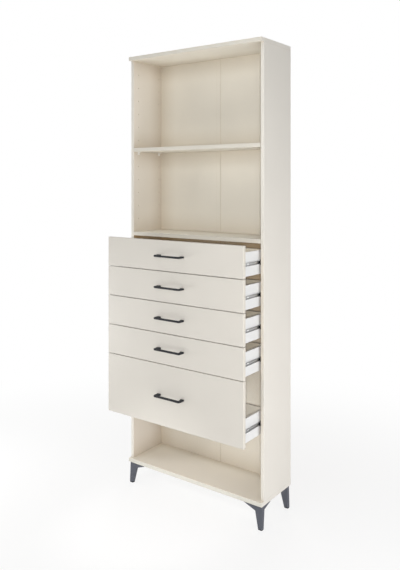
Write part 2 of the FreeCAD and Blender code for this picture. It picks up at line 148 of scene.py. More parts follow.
world = bpy.data.worlds.new("studio")
world.use_nodes = True
bpy.context.scene.world = world
tree = world.node_tree
tree.nodes.clear()
soft = node(tree, "ShaderNodeBackground", Color=WHITE, Strength=AMBIENT)
white = node(tree, "ShaderNodeBackground", Color=WHITE, Strength=1.0)
sky = mixed(tree, seen_directly(tree), soft, white)
tree.links.new(sky.outputs[0], node(tree, "ShaderNodeOutputWorld").inputs[0])
print("world with ambient", AMBIENT)

# %% [markdown]
# ## Lamps
# The picture has almost no shadows inside the shelves and between the drawers, so the main lamp stands
# right behind the camera, where its shadows hide behind the pieces that cast them. A second one on the
# same line, far off and higher, evens out the boards from top to bottom.
# A wide lamp on the right lights the side panel, and a low one lightens it towards its foot. A low lamp on
# the left shines through the gap beside the drawers into the bay over the lowest drawer. A narrow one
# reaches under the drawers into the niche.
# The lamp above lights the floor, which throws light back up, and one more is for the back, which the
# picture never shows.

# %% Lamps
NICHE_CONE = math.radians(19)


def lamp(name, place, target, watts, kind="AREA", **settings):
    """A lamp at a place, turned to face a target: its yaw and pitch are the angles of the line between
    the two."""
    data = bpy.data.lights.new(name, kind)
    data.energy = watts
    for setting, value in settings.items():
        setattr(data, setting, value)
    made = bpy.data.objects.new(name, data)
    made.location = place
    heading = np.subtract(target, place)
    yaw = math.atan2(-heading[0], heading[1])
    pitch = math.atan2(heading[2], math.hypot(heading[0], heading[1]))
    made.rotation_euler = (LEVEL + pitch, 0, yaw)
    bpy.context.scene.collection.objects.link(made)
    return made


lamps = [
    lamp("lamp_at_camera", (1.81, -2.425, 1.457), target=(0, 0, 1.1), watts=50.5, size=0.15),
    lamp("lamp_far_high", (4.6, -6.3, 3.6), target=(0, 0, 1.0), watts=65, size=1.2),
    lamp("lamp_left", (-1.5, -0.7, 0.55), target=(0.2, 0.1, 0.55), watts=9.8, size=0.6),
    lamp("lamp_right", (2.4, 0.2, 0.9), target=(0.3, 0.1, 0.9), watts=4.6, size=1.7),
    lamp("lamp_right_low", (2.2, -0.4, 0.35), target=(0.37, 0.1, 0.5), watts=13.4, size=0.9,
         color=(0.97, 0.95, 1.0)),
    lamp("lamp_above", (0.1, -0.6, 3.9), target=(0.1, -0.1, 0), watts=30, size=2.0),
    lamp("lamp_for_the_back", (-1.4, 3.2, 1.5), target=(0, 0, 1.0), watts=55, size=1.8),
    lamp("lamp_for_the_niche", (-0.24, -1.9, 1.75), target=(-0.03, -0.22, 0), watts=78, kind="SPOT",
         spot_size=NICHE_CONE, spot_blend=0.35, shadow_soft_size=0.12),
]
print(len(lamps), "lamps with", round(sum(made.data.energy for made in lamps), 1), "watts in all")

# %% [markdown]
# ## Floor
# A pale, matte floor that runs out of sight. Like the world, it looks white to the rays that see it
# directly. Near the bookcase a part of its own shaded surface is left in the mix, so that the bookcase
# keeps a soft shadow under it.
# From below, it can be looked through, so that the underside can be seen.

# %% Floor
FLOOR_REACH = 30.0
FLOOR_COLOUR = (0.92, 0.915, 0.9, 1)
WHITENS_BETWEEN = (0.5, 2.2)
WHITE_SHARE = (0.8, 1.0)

floor_mesh = bpy.data.meshes.new("floor")
corners = FLOOR_REACH * np.array([[-1, -1, 0], [1, -1, 0], [1, 1, 0], [-1, 1, 0]])
floor_mesh.from_pydata(corners.tolist(), [], [(0, 1, 2, 3)])
floor = bpy.data.objects.new("floor", floor_mesh)
bpy.context.scene.collection.objects.link(floor)

floor_finish = bpy.data.materials.new("pale_floor")
floor_finish.use_nodes = True
tree = floor_finish.node_tree
tree.nodes.clear()
place = node(tree, "ShaderNodeTexCoord").outputs["Object"]
distance = node(tree, VECTOR, {"operation": "LENGTH"}, Vector=place).outputs["Value"]
fade = node(tree, "ShaderNodeMapRange", {"interpolation_type": "SMOOTHSTEP"}, Value=distance,
            From_Min=WHITENS_BETWEEN[0], From_Max=WHITENS_BETWEEN[1],
            To_Min=WHITE_SHARE[0], To_Max=WHITE_SHARE[1]).outputs[0]
matte = node(tree, "ShaderNodeBsdfDiffuse", Color=FLOOR_COLOUR)
glow = node(tree, "ShaderNodeEmission", Color=WHITE, Strength=1.0)
upper_face = mixed(tree, maths(tree, "MULTIPLY", seen_directly(tree), fade), matte, glow)
from_below = node(tree, "ShaderNodeNewGeometry").outputs["Backfacing"]
two_faced = mixed(tree, from_below, upper_face, node(tree, "ShaderNodeBsdfTransparent"))
tree.links.new(two_faced.outputs[0], node(tree, "ShaderNodeOutputMaterial").inputs[0])
floor_mesh.materials.append(floor_finish)
print("floor", FLOOR_REACH, "m each way")

# %% [markdown]
# ## A finish from its numbers
# Laminate, hardboard, foil, steel and plastic could each have a network of their own. But they differ
# only in numbers: a colour that drifts a little over the surface, a fine speckle, a roughness that
# varies, a tiny relief, and edges that look slightly rounded and are brightened like rubbed wear or
# darkened as a painted shade. So one function makes them all.
# It can also lay further colours on some of the faces, some of them painted light or painted shade, and
# multiply the whole by a painted shade.

# %% The function for a finish
DRIFT_SCALE, DRIFT_DETAIL = 5.0, 3.0
SPECKLE_DETAIL, SPECKLE_ROUGHNESS = 4.0, 0.6
NOISE_MIDDLE, NOISE_WIDE = (0.25, 0.75), (0.2, 0.8)
FLAT_TO_EDGE = (0.98, 0.75)
EDGE_SAMPLES = 4


def finish(name, colour, drift, speckle, roughness, relief, speckle_size, edge, stretch=(1, 1, 1),
           metallic=0.0, edge_wear_and_shade=1.25, gloss=0.5, others=(), shades=()):
    """A principled surface. The colour is multiplied by 1 plus or minus drift at hand's breadth scale and by
    1 plus or minus speckle at speckle_size metres; relief is the depth of the bump in metres; edge is the
    radius in metres that corners are rounded to by eye; stretch lengthens the speckle along an axis; the
    edge factor brightens the edges like rubbed wear, or below 1 darkens them as a painted shade; others are
    further colours, some of them painted light or painted shade, each with the function that makes the mask
    of its faces; shades are functions that make a painted shade, a colour to multiply the surface by."""
    made = bpy.data.materials.new(name)
    made.use_nodes = True
    tree = made.node_tree
    surface = tree.nodes["Principled BSDF"]
    surface.inputs["Metallic"].default_value = metallic
    surface.inputs["Specular IOR Level"].default_value = gloss
    place = node(tree, "ShaderNodeTexCoord").outputs["Object"]
    shrink = tuple(1 / s for s in stretch)
    grain_place = node(tree, "ShaderNodeMapping", Vector=place, Scale=shrink).outputs[0]
    broad = node(tree, "ShaderNodeTexNoise", Vector=place, Scale=DRIFT_SCALE,
                 Detail=DRIFT_DETAIL).outputs["Fac"]
    fine = node(tree, "ShaderNodeTexNoise", Vector=grain_place, Scale=1 / speckle_size,
                Detail=SPECKLE_DETAIL, Roughness=SPECKLE_ROUGHNESS).outputs["Fac"]

    def spread(value, given, wanted):
        return node(tree, "ShaderNodeMapRange", Value=value, From_Min=given[0], From_Max=given[1],
                    To_Min=wanted[0], To_Max=wanted[1]).outputs[0]

    rounded = node(tree, "ShaderNodeBevel", {"samples": EDGE_SAMPLES}, Radius=edge).outputs[0]
    agree = node(tree, VECTOR, {"operation": "DOT_PRODUCT"})
    fill(tree, agree.inputs[0], rounded)
    fill(tree, agree.inputs[1], node(tree, "ShaderNodeNewGeometry").outputs["Normal"])
    # The edge factor: above 1 the edges look rubbed lighter, below 1 it paints shade along them.
    edge_wear_and_shade_factor = spread(agree.outputs["Value"], FLAT_TO_EDGE, (1.0, edge_wear_and_shade))
    level = maths(tree, "MULTIPLY", spread(broad, NOISE_MIDDLE, (1 - drift, 1 + drift)),
                  spread(fine, NOISE_MIDDLE, (1 - speckle, 1 + speckle)))
    level = maths(tree, "MULTIPLY", level, edge_wear_and_shade_factor)
    shown = colour
    for other, mask in others:
        change = maths(tree, "SUBTRACT", other, shown, kind=VECTOR)
        shown = maths(tree, "MULTIPLY_ADD", mask(tree), change, shown, kind=VECTOR)
    shown = maths(tree, "MULTIPLY", level, shown, kind=VECTOR)
    # Painted shades: darker, warmer corners and gaps multiplied into the colour.
    for shade in shades:
        shown = maths(tree, "MULTIPLY", shown, shade(tree), kind=VECTOR)
    fill(tree, surface.inputs["Base Color"], shown)
    fill(tree, surface.inputs["Roughness"], spread(fine, NOISE_WIDE, roughness))
    bump = node(tree, "ShaderNodeBump", Strength=1.0, Distance=relief, Height=fine, Normal=rounded)
    fill(tree, surface.inputs["Normal"], bump.outputs[0])
    return made


# %% [markdown]
# ## Two-faced boards
# A board is rarely the same all round. The front edges have a band, and hardboard is printed or
# lacquered on one side and raw brown on the other. Some faces also carry painted light or painted shade:
# the laminate inside the carcass is set darker and warmer than outside, the drawer boxes' insides and the
# lacquered face of their bottoms are a warmer white than the boxes show outside, and their top edges are
# lighter.
# The faces could be given materials one by one. A mask from the direction that a face looks in does the
# same without touching the solid.

# %% Masks for faces
LOOKS_ALONG = 0.5


def facing_out(sign):
    """A mask that is 1 on faces that look away from the middle plane, or towards it with sign -1: the sign
    of X times the normal's X."""
    def mask(tree):
        coordinates = node(tree, "ShaderNodeTexCoord").outputs
        across, turned = (node(tree, "ShaderNodeSeparateXYZ", Vector=coordinates[name]).outputs["X"]
                          for name in ("Object", "Normal"))
        outwards = maths(tree, "MULTIPLY", maths(tree, "SIGN", across), turned)
        return maths(tree, "GREATER_THAN", maths(tree, "MULTIPLY", outwards, sign), LOOKS_ALONG)
    return mask


def facing(axis, sign):
    """A mask that is 1 on faces that look along an axis, with the given sign."""
    def mask(tree):
        normal = node(tree, "ShaderNodeTexCoord").outputs["Normal"]
        along = node(tree, "ShaderNodeSeparateXYZ", Vector=normal).outputs[axis]
        return maths(tree, "GREATER_THAN", maths(tree, "MULTIPLY", along, sign), LOOKS_ALONG)
    return mask


# %% [markdown]
# ## Shade in corners
# Corners of a shelf look a little darker and warmer, because light bounces between the cream boards
# before it comes out. The lamps alone don't give enough of that, so a painted shade darkens and warms the
# boards' colour by how closed in each point is. That is measured on the shapes around it and is the same
# from every side.
# Between the drawers the painted shade is deeper and browner, and it ends at heights that are taken from
# the boards there.

# %% Painted shades for corners and between the drawers
CORNER_SAMPLES = 8
UNDER_THE_BOTTOM, BELOW_FRONT_TOP, INTO_THE_SHELF = 0.001, 0.019, 0.0005
stack_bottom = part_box("drawer_5_bottom")[0].z - UNDER_THE_BOTTOM
tall_drawer_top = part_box("drawer_5_front")[1].z - BELOW_FRONT_TOP
stack_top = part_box("fixed_shelf")[0].z + INTO_THE_SHELF


def shade_in_corners(reach, deepest, closed=0.0, free=1.0, heights=(-math.inf, math.inf)):
    """A painted shade: a colour that goes from white to deepest as other surfaces within reach metres close
    round the point: the share of free directions is spread from closed to free. It stays white outside the
    two heights."""
    def shade(tree):
        openness = node(tree, "ShaderNodeAmbientOcclusion", {"samples": CORNER_SAMPLES},
                        Distance=reach).outputs["AO"]
        openness = node(tree, "ShaderNodeMapRange", Value=openness, From_Min=closed,
                        From_Max=free).outputs[0]
        place = node(tree, "ShaderNodeTexCoord").outputs["Object"]
        height = node(tree, "ShaderNodeSeparateXYZ", Vector=place).outputs["Z"]
        for operation, limit in zip(("LESS_THAN", "GREATER_THAN"), heights):
            if math.isfinite(limit):
                openness = maths(tree, "MAXIMUM", openness, maths(tree, operation, height, limit))
        lift = tuple(1 - d for d in deepest)
        return maths(tree, "MULTIPLY_ADD", openness, lift, deepest, kind=VECTOR)
    return shade


# The colours that the painted shades go down to: in corners, in the base's corners, behind the drawers and
# inside the upper drawers.
CORNER_REACH, CORNER_PAINTED_SHADE = 0.10, (0.62, 0.55, 0.46)
BASE_REACH, BASE_CORNER_PAINTED_SHADE = 0.05, (0.7, 0.64, 0.56)
STACK_REACH = 0.3
BEHIND_DRAWERS_PAINTED_SHADE, IN_DRAWERS_PAINTED_SHADE = (0.70, 0.51, 0.31), (0.645, 0.61, 0.55)
corner_shade = shade_in_corners(CORNER_REACH, CORNER_PAINTED_SHADE)
back_corner_shades = [shade_in_corners(CORNER_REACH, CORNER_PAINTED_SHADE, heights=heights)
                      for heights in ((tall_drawer_top, math.inf), (-math.inf, stack_bottom))]
base_corner_shade = shade_in_corners(BASE_REACH, BASE_CORNER_PAINTED_SHADE)
behind_drawers_shade = shade_in_corners(STACK_REACH, BEHIND_DRAWERS_PAINTED_SHADE, closed=0.2, free=0.5,
                                        heights=(stack_bottom, stack_top))
in_drawers_shade = shade_in_corners(STACK_REACH, IN_DRAWERS_PAINTED_SHADE, closed=0.1, free=0.38,
                                    heights=(tall_drawer_top, stack_top))
print("drawers shaded from", round(stack_bottom, 4), "to", round(stack_top, 4), "m")

# %% [markdown]
# ## The colours and surfaces
# The boards are chipboard with a satin cream laminate, and the drawer boxes are wrapped in white foil with
# a grain that lies level. Each colour is named for the face or the metal that wears it.
# Some creams and whites are copies of one surface set lighter or darker by face, as painted light or
# painted shade: the fronts darker, the shelves and base top lighter, the carcass inside darker and warmer,
# the drawers' insides warmer, and the drawer boxes' top edges lighter.
# The laminates and the foils share all numbers but the colour, and the plastics and the steels share most
# of them, so those numbers are written once.

# %% Colours and shared numbers
OUTER_CREAM = (0.764, 0.733, 0.666)
# Painted shade: the carcass's inner faces are a darker, warmer copy of the outer cream.
INNER_CREAM_PAINTED_SHADE = (0.73, 0.679, 0.602)
# Painted light: the shelves and the base top are a lighter copy of the outer cream.
SHELF_CREAM_PAINTED_LIGHT = (0.868, 0.828, 0.738)
# Painted shade: the fronts are a darker copy of the outer cream, against the strong light on them.
FRONT_CREAM_PAINTED_SHADE = (0.655, 0.624, 0.567)
EDGE_BAND = (0.70, 0.665, 0.588)
BASE_EDGE = (0.643, 0.625, 0.556)
PRINTED_CREAM = (0.773, 0.73, 0.64)
STRIP_CREAM = (0.768, 0.725, 0.634)
RAW_HARDBOARD = (0.46, 0.30, 0.16)
DRAWER_WHITE = (0.757, 0.762, 0.75)
# Painted light: a warmer white on the drawer boxes' inner faces and bottoms, for warm light bounced inside
# them.
DRAWER_INSIDE_PAINTED_LIGHT = (0.857, 0.80, 0.69)
# Painted light: the drawer boxes' top edges are set lighter where little light reaches them.
BOX_TOP_EDGE_PAINTED_LIGHT = (0.92, 0.88, 0.81)
PIN_WHITE = (0.74, 0.725, 0.685)
BEECH = (0.55, 0.40, 0.24)
SLATE = (0.093, 0.099, 0.118)
BLACK = (0.006, 0.006, 0.007)
BRIGHT_ZINC = (0.94, 0.94, 0.93)
DULL_ZINC = (0.46, 0.46, 0.465)
ANTHRACITE = (0.016, 0.017, 0.02)

laminate = dict(drift=0.012, speckle=0.018, roughness=(0.38, 0.5), relief=0.00003, speckle_size=0.0012,
                edge=0.0006, edge_wear_and_shade=1.05)
foil = dict(drift=0.008, speckle=0.02, roughness=(0.42, 0.52), relief=0.00003, speckle_size=0.0011,
            edge=0.0005, stretch=(14, 14, 1), edge_wear_and_shade=1.03)
hardboard = dict(drift=0.02, speckle=0.02, roughness=(0.5, 0.62), relief=0.00004, speckle_size=0.0016,
                 edge=0.0003, edge_wear_and_shade=1.03)
smooth_plastic = dict(drift=0.01, speckle=0.01, relief=0.00002, speckle_size=0.001)
moulded_plastic = dict(drift=0.03, speckle=0.06, relief=0.00005, speckle_size=0.0009, edge=0.0012, edge_wear_and_shade=1.3)
beech = dict(drift=0.06, speckle=0.12, roughness=(0.6, 0.75), relief=0.00008, speckle_size=0.001,
             edge=0.0003, stretch=(1, 1, 8))
steel = dict(drift=0.03, speckle=0.06, relief=0.00002, speckle_size=0.0006, metallic=1.0)
powder_coat = dict(drift=0.04, speckle=0.1, roughness=(0.45, 0.58), relief=0.00004, speckle_size=0.0007,
                   edge=0.0008, edge_wear_and_shade=1.3, gloss=0.25)

# %% The finishes of this bookcase
# Painted light: the drawer boxes' top edges wear a lighter colour.
painted_light_on_top_edges = (BOX_TOP_EDGE_PAINTED_LIGHT, facing("Z", 1))
finishes = {
    # Painted light: the shelves wear a lighter copy of the cream.
    "cream_board": finish("cream_laminate", SHELF_CREAM_PAINTED_LIGHT, **laminate, shades=[corner_shade],
                          others=[(EDGE_BAND, facing("Y", -1)), (OUTER_CREAM, facing_out(1))]),
    "back_board": finish("printed_hardboard", PRINTED_CREAM, **hardboard,
                         shades=[*back_corner_shades, behind_drawers_shade],
                         others=[(RAW_HARDBOARD, facing("Y", 1))]),
    "cream_plastic": finish("cream_strip", STRIP_CREAM, **smooth_plastic, roughness=(0.35, 0.45),
                            edge=0.0003, edge_wear_and_shade=0.8, shades=[corner_shade, behind_drawers_shade]),
    "white_plastic": finish("white_pin_plastic", PIN_WHITE, **smooth_plastic, roughness=(0.3, 0.4),
                            edge=0.0005, edge_wear_and_shade=1.05),
    "dowel_wood": finish("bare_beech", BEECH, **beech),
    "slate_plastic": finish("slate_plastic", SLATE, **moulded_plastic, roughness=(0.45, 0.57), gloss=0.25),
    "black_plastic": finish("black_plastic", BLACK, **moulded_plastic, roughness=(0.6, 0.7), gloss=0.05),
    "screw_steel": finish("zinc_screw", BRIGHT_ZINC, **steel, roughness=(0.22, 0.32), edge=0.0003),
    # Painted shade: the slide steel's edges are darkened to 0.12 of its colour, as dark lines along the
    # rails.
    "slide_steel": finish("zinc_slide", DULL_ZINC, **steel, roughness=(0.3, 0.44), edge=0.0012, edge_wear_and_shade=0.12,
                          stretch=(1, 30, 1)),
    # Painted light: the drawer backs' inner faces wear the warmer white of the drawers' insides.
    "white_board": finish("box_foil", DRAWER_WHITE, **foil, shades=[in_drawers_shade],
                          others=[(DRAWER_INSIDE_PAINTED_LIGHT, facing("Y", -1)), painted_light_on_top_edges]),
    "anthracite_metal": finish("anthracite_coat", ANTHRACITE, **powder_coat),
}
# Painted shade: the fronts wear a darker copy of the cream.
front_laminate = finish("front_laminate", FRONT_CREAM_PAINTED_SHADE, **laminate, others=[(EDGE_BAND, facing_out(1))])
# Painted shade: the side panels' inner faces wear a darker, warmer copy of the cream.
side_laminate = finish("side_laminate", OUTER_CREAM, **laminate,
                       shades=[corner_shade, behind_drawers_shade],
                       others=[(INNER_CREAM_PAINTED_SHADE, facing_out(-1))])
# Painted light: the base top wears the lighter copy of the cream.
base_laminate = finish("base_laminate", BASE_EDGE, **laminate, shades=[base_corner_shade],
                       others=[(SHELF_CREAM_PAINTED_LIGHT, facing("Z", 1)), (OUTER_CREAM, facing_out(1))])
# Painted light: the drawer sides' inner faces wear the warmer white of the drawers' insides.
box_side_foil = finish("box_side_foil", DRAWER_WHITE, **foil,
                       others=[(DRAWER_INSIDE_PAINTED_LIGHT, facing_out(-1)), painted_light_on_top_edges])
# Painted light: the drawer bottoms' upper face wears the warmer white of the drawers' insides.
box_bottom = finish("lacquered_hardboard", DRAWER_INSIDE_PAINTED_LIGHT, **foil,
                    others=[(RAW_HARDBOARD, facing("Z", -1))])
print("finishes by slot:", ", ".join(made.name for made in finishes.values()))

# %% Each solid gets its finish
own_finish = {"left_side_panel": side_laminate, "right_side_panel": side_laminate,
              "base_panel": base_laminate}
for k in drawers:
    own_finish[f"drawer_{k}_front"] = front_laminate
    own_finish[f"drawer_{k}_left_side"] = own_finish[f"drawer_{k}_right_side"] = box_side_foil
    own_finish[f"drawer_{k}_bottom"] = box_bottom
for part in frame["record"]["subparts"]:
    materials = solids[part["node"]].data.materials
    materials.clear()
    materials.append(own_finish.get(part["node"], finishes[part["material_slot"]]))
finish_names = {made.name for made in (*finishes.values(), *own_finish.values())}
print("finishes", len(finish_names), "on", len(solids), "solids")

# %% [markdown]
# ## From a grid of points to a piece
# The small pieces could be modelled by hand, but a formula keeps them exact and easy to change. Each one
# is a closed skin worked out as an array: rows of rings, one ring after another along the piece.
# Neighbouring rings are joined by quads, and a flat face closes each end.
# A piece with many copies, such as the screws, is one array with the copies as its first axis, and becomes
# one mesh.

# %% Grid helpers
def rings_to_piece(name, rings, slot, body, stands_for=()):
    """A mesh from an array of (copies, rows, columns, 3): quads between ring i and i + 1 and column j and
    j + 1, the last column joined to the first, and one flat face over the first and last ring. The sign of
    the volume says which way round the faces go so that they look outwards."""
    copies, rows, columns, _ = rings.shape
    number = np.arange(copies * rows * columns).reshape(copies, rows, columns)
    this, following = number[:, :-1], number[:, 1:]
    quads = np.stack([this, np.roll(this, -1, 2), np.roll(following, -1, 2), following], -1)
    quads = quads.reshape(-1, 4)
    caps = np.concatenate([number[:, 0, ::-1], number[:, -1]])
    points = rings.reshape(-1, 3)
    a, b, c, d = (points[quads[:, i]] - points.mean(0) for i in range(4))
    volume = np.sum(np.cross(a, b) * c) + np.sum(np.cross(a, c) * d)
    if volume < 0:
        quads, caps = quads[:, ::-1], caps[:, ::-1]
    mesh = bpy.data.meshes.new(name)
    mesh.from_pydata(points.tolist(), [], quads.tolist() + caps.tolist())
    mesh.polygons.foreach_set("use_smooth", np.arange(len(mesh.polygons)) < len(quads))
    mesh.materials.append(finishes[slot])
    piece = bpy.data.objects.new(name, mesh)
    bpy.context.scene.collection.objects.link(piece)
    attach(piece, body)
    if stands_for:
        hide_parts(*stands_for)
    print(name, "has", len(mesh.polygons), "faces on", body)
    return piece


def placed(shape, places, out):
    """Copies of a shape of (rows, columns, 3) whose own Z is turned to the unit vector out, one at each
    place. The shape's X and Y go to two directions across out, taken so that the turn keeps its hand."""
    out = np.asarray(out, float)
    across = np.roll(out, 1)
    turn = np.stack([across, np.cross(out, across), out])
    return np.asarray(places, float)[:, None, None, :] + shape @ turn


def even_weight(piece):
    """Let large flat faces decide the shading, so that flats look flat beside rounded corners."""
    piece.modifiers.new("flat_faces_lead", "WEIGHTED_NORMAL")


# %% [markdown]
# ## Handles
# A cast bow with a fine dark coat. In plan the bar turns back to the front at each end, in a post that
# widens as it comes to the front, so a tube of one width won't do.
# Two lines in plan, along the outer and the inner side, are drawn with as many points each, and a rounded
# rectangle is stretched between them from pair to pair.

# %% Handle shape
HANDLE_SEAT_OUT, HANDLE_SEAT_IN = 0.074, 0.054
HANDLE_OUTER_X, HANDLE_INNER_X = 0.072, 0.061
HANDLE_OUTER_BEND, HANDLE_INNER_BEND = 0.006, 0.004
HANDLE_ROUNDING, HANDLE_ROUNDING_STEPS = 0.0026, 6
POST_POINTS, BEND_POINTS, BAR_POINTS = 9, 12, 14


def rounded_rectangle(half_width, half_height, radius, steps):
    """Rings of a rectangle with rounded corners: a quarter circle of the given radius about each corner's
    centre, for arrays of half widths and half heights. Returns the two coordinates, each of
    (rows, 4 * steps)."""
    turn = (np.arange(4)[:, None] * np.pi / 2 + np.linspace(0, np.pi / 2, steps)).ravel()
    right = np.repeat([1, -1, -1, 1], steps)
    upper = np.repeat([1, 1, -1, -1], steps)
    across = right * (half_width[:, None] - radius) + radius * np.cos(turn)
    up = upper * (half_height[:, None] - radius) + radius * np.sin(turn)
    return across, up


def half_outline(seat_x, post_x, reach, bend):
    """Half of one side of the bow in plan, from the seat to the middle: a straight post, a quarter circle of
    the given radius, and the straight bar. X is from the middle, Y is how far in front of the drawer it
    lies."""
    post = np.linspace([seat_x, 0], [post_x, reach - bend], POST_POINTS)
    turn = np.linspace(0, np.pi / 2, BEND_POINTS)
    quarter = np.stack([post_x - bend + bend * np.cos(turn), reach - bend + bend * np.sin(turn)], 1)
    bar = np.linspace([post_x - bend, reach], [0, reach], BAR_POINTS)
    return np.concatenate([post[:-1], quarter, bar[1:]])


def handle_rings(node_name):
    """The bow between its outer and inner line in plan, at the height and depth of its solid."""
    low, high = (np.array(corner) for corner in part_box(node_name))
    reach = high[1] - low[1]
    bar = high[2] - low[2]
    outer = half_outline(HANDLE_SEAT_OUT, HANDLE_OUTER_X, reach, HANDLE_OUTER_BEND)
    inner = half_outline(HANDLE_SEAT_IN, HANDLE_INNER_X, reach - bar, HANDLE_INNER_BEND)
    mirror = np.array([-1, 1])
    outer, inner = (np.concatenate([line, line[-2::-1] * mirror]) for line in (outer, inner))
    middle, half = (outer + inner) / 2, (outer - inner) / 2
    width = np.linalg.norm(half, axis=1)
    half_bar = np.full(len(width), bar / 2)
    across, up = rounded_rectangle(width, half_bar, HANDLE_ROUNDING, HANDLE_ROUNDING_STEPS)
    plan = middle[:, None, :] + (half / width[:, None])[:, None, :] * across[:, :, None]
    return np.stack([plan[..., 0], high[1] - plan[..., 1], (low[2] + high[2]) / 2 + up], -1)[None]


# %% Handles
for k in drawers:
    solid = f"drawer_{k}_handle"
    bow = rings_to_piece(f"handle_bow_{k}", handle_rings(solid), "anthracite_metal", f"drawer_{k}", [solid])
    even_weight(bow)

# %% [markdown]
# ## Screws
# All screws here have a low domed head with a cross-shaped recess. It could be cut from a turned head with a
# boolean, but that leaves ragged faces in so small a piece.
# So the head is a surface over radius and angle: a dome less a recess that is deep along two crossed bars
# and fades towards the rim. The first ones hold the handles, from inside the drawers.

# %% Screw head and handle screws
HEAD_CENTRE, HEAD_FIRST_RING, HEAD_RINGS, HEAD_COLUMNS = 0.02, 0.1, 12, 40
DOME_DROP = 0.8
CROSS_HALF_WIDTH, CROSS_REACH = 0.16, 0.62
HANDLE_HEAD = dict(radius=0.0042, rise=0.0024, recess=0.0014)
HANDLE_HOLES_APART = 0.128


def screw_head(radius, rise, recess):
    """A round head over a grid of radius and angle, r being the share of the radius. Height is rise times
    the root of 1 minus DOME_DROP times r squared, less the recess. The recess falls off as the exponential
    of minus the fourth power of the distance from the nearer bar of the cross, over the bar's half width,
    and as 1 minus the sixth power of r over the cross's reach. A last ring takes the rim down to the
    seat."""
    share = np.concatenate([[HEAD_CENTRE], np.linspace(HEAD_FIRST_RING, 1.0, HEAD_RINGS)])[:, None]
    angle = np.linspace(0, 2 * np.pi, HEAD_COLUMNS, endpoint=False)[None]
    x, y = share * np.cos(angle), share * np.sin(angle)
    bar = np.exp(-(np.minimum(np.abs(x), np.abs(y)) / CROSS_HALF_WIDTH) ** 4)
    cross = bar * np.clip(1 - (share / CROSS_REACH) ** 6, 0, 1)
    height = rise * np.sqrt(1 - DOME_DROP * share ** 2) - recess * cross
    head = np.stack([x * radius, y * radius, height], -1)
    seat = head[-1:] * [1, 1, 0]
    return np.concatenate([head, seat])


for k in drawers:
    _, front_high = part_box(f"drawer_{k}_front")
    handle_low, handle_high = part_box(f"drawer_{k}_handle")
    height = (handle_low.z + handle_high.z) / 2
    places = [(side * HANDLE_HOLES_APART / 2, front_high.y, height) for side in (-1, 1)]
    heads = placed(screw_head(**HANDLE_HEAD), places, (0, 1, 0))
    rings_to_piece(f"handle_screws_{k}", heads, "screw_steel", f"drawer_{k}")

# %% [markdown]
# ## Foot screws
# Two screws go up through the long arm of each foot into the base. Only their heads show, from below, so
# the heads stand for the solid screws. Those have heads with twelve flat sides, so the cosine of half a
# side's angle gives the distance from the end of their box to a screw's axis.

# %% Foot screws
FOOT_HEAD = dict(radius=0.004, rise=0.0024, recess=0.0014)
FOOT_SCREW_X = (0.286, 0.318)
FOOT_ARM_THICKNESS = 0.003
SOLID_HEAD_SIDES = 12

arm_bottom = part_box("foot_front_right")[1].z - FOOT_ARM_THICKNESS
screw_low, screw_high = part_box("foot_screws")
to_flat = FOOT_HEAD["radius"] * math.cos(math.pi / SOLID_HEAD_SIDES)
rows_y = (screw_low.y + to_flat, screw_high.y - to_flat)
places = [(side * x, y, arm_bottom) for side in (-1, 1) for x in FOOT_SCREW_X for y in rows_y]
heads = placed(screw_head(**FOOT_HEAD), places, (0, 0, -1))
rings_to_piece("foot_screw_heads", heads, "screw_steel", "carcass", ["foot_screws"])

# %% [markdown]
# ## Slide screws
# Each rail is screwed to its drawer and each channel to the wall of the carcass. The heads are almost
# flush, since other steel runs past them, so they are the same shape with hardly any rise.

# %% Slide screws
SLIDE_HEAD = dict(radius=0.0043, rise=0.00025, recess=0.00014)
SLIDE_STEEL = 0.0012
SLIDE_SCREWS_FROM_FRONT = (0.055, 0.150)

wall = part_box("right_side_panel")[0].x
rail_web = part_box("drawer_1_right_side")[1].x + SLIDE_STEEL
channel_web = wall - SLIDE_STEEL
channel_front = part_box("slide_channels")[0].y


def slide_screws(web, front, height, outwards):
    """Heads on both slides of a drawer, on webs that look outwards with 1 and inwards with -1."""
    return np.concatenate([
        placed(screw_head(**SLIDE_HEAD), [(side * web, front + y, height) for y in SLIDE_SCREWS_FROM_FRONT],
               (outwards * side, 0, 0))
        for side in (-1, 1)])


for k in drawers:
    low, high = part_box(f"drawer_{k}_slide_rails")
    height = (low.z + high.z) / 2
    on_rails = slide_screws(rail_web, low.y, height, outwards=1)
    rings_to_piece(f"rail_screws_{k}", on_rails, "screw_steel", f"drawer_{k}")
    on_walls = slide_screws(channel_web, channel_front, height, outwards=-1)
    rings_to_piece(f"channel_screws_{k}", on_walls, "screw_steel", "carcass")

# %% [markdown]
# ## Balls and their cages
# Two rows of bearing balls run in each slide, held by a strip of thin steel bent to a C.
# A ball is a sphere over two angles. The strip is a flat ribbon carried along the C, with a small bend at
# each corner: an extruded outline would do as well, but the ribbon has the soft edges of rolled steel.

# %% Shapes of ball and cage
BALL_RADIUS, BALL_RISE, BALL_FROM_WALL = 0.0015, 0.00775, 0.0054
BALL_FIRST, BALL_PITCH, BALLS_PER_ROW = 0.008, 0.012, 3
BALL_ROWS, BALL_COLUMNS, BALL_POLE = 11, 16, 0.02
CAGE_WEB_FROM_WALL, CAGE_LIP, CAGE_STEEL = 0.0018, 0.0066, 0.0006
CAGE_BEND, CAGE_BEND_POINTS = 0.0008, 6
CAGE_ROUNDING, CAGE_ROUNDING_STEPS = 0.0002, 3


def sphere(radius):
    """Rings over two angles: height is the cosine of the first, and the ring's radius is its sine."""
    polar = np.linspace(BALL_POLE, np.pi - BALL_POLE, BALL_ROWS)[:, None]
    round_angle = np.linspace(0, 2 * np.pi, BALL_COLUMNS, endpoint=False)[None]
    level = np.broadcast_to(np.cos(polar), (BALL_ROWS, BALL_COLUMNS))
    ring = np.sin(polar)
    return radius * np.stack([ring * np.cos(round_angle), ring * np.sin(round_angle), level], -1)


